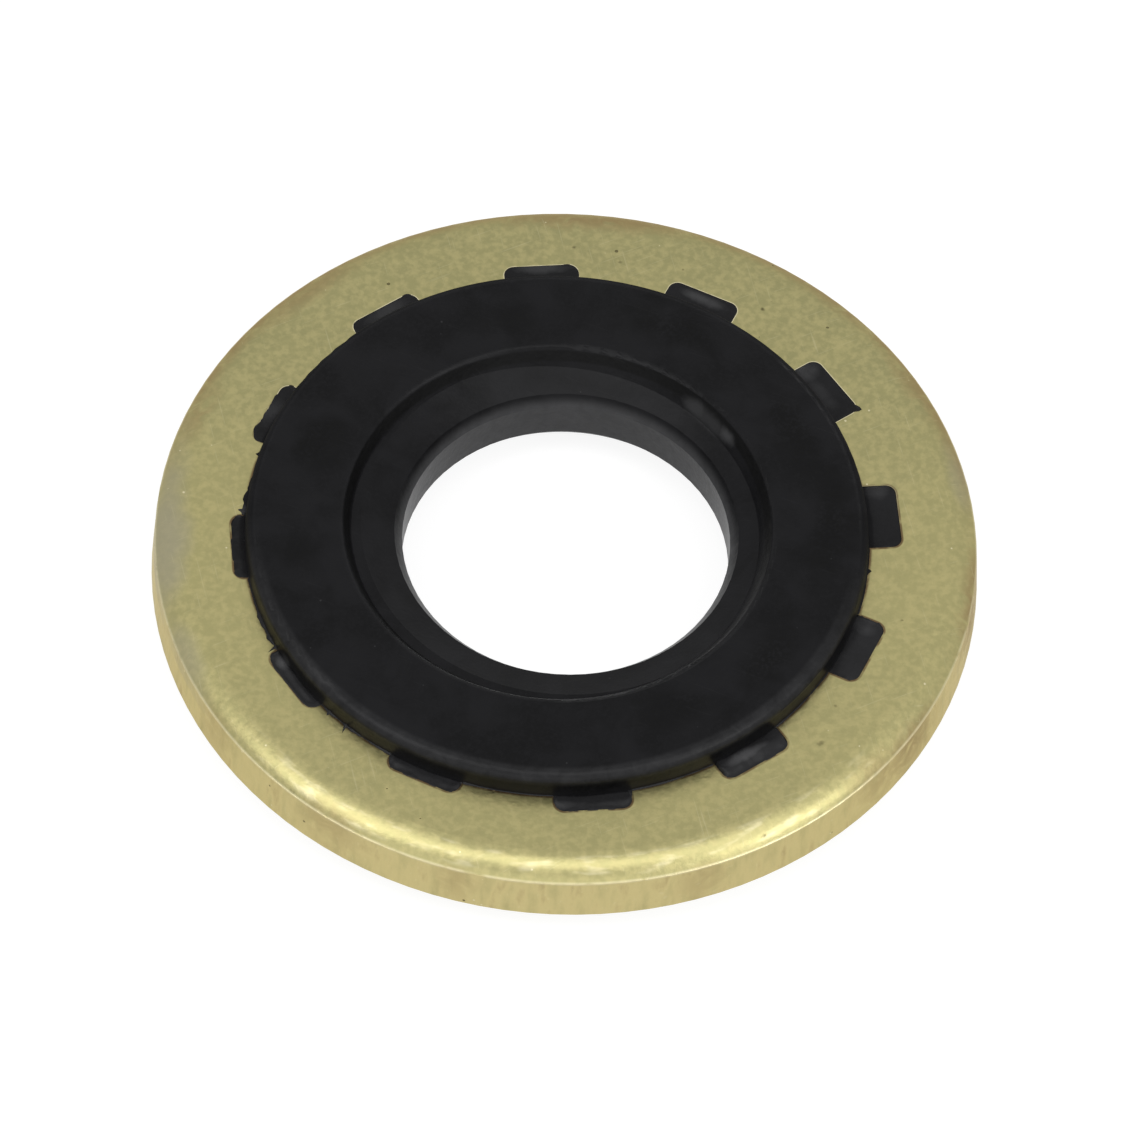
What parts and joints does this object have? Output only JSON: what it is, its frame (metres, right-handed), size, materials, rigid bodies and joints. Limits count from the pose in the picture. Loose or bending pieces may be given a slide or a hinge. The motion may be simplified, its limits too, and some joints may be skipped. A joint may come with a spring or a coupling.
{
  "type": "bonded sealing washer",
  "caption": "Flat brass ring with a black rubber seal moulded over its toothed inner edge: raised beads on both faces and a plain bore for sealing round a bolt or a tube.",
  "frame": {"origin": "on the axis of the ring's outside diameter and of the bore, in the plane the lower bead rests on", "axes": "+Z along the axis, out of the face whose outer edge is rolled; +X lies 7.2 degrees clockwise of the middle of one notch, seen from +Z"},
  "size_m": [0.024, 0.024, 0.0036],
  "materials": {
    "brass_ring": "stamped sheet brass, dull and lightly scratched, bright on the rolled edge",
    "rubber": "moulded black nitrile rubber, matt, with faint grain"
  },
  "bodies": {
    "root": {"metal_ring": "brass_ring", "rubber_seal": "rubber"}
  },
  "joints": []
}
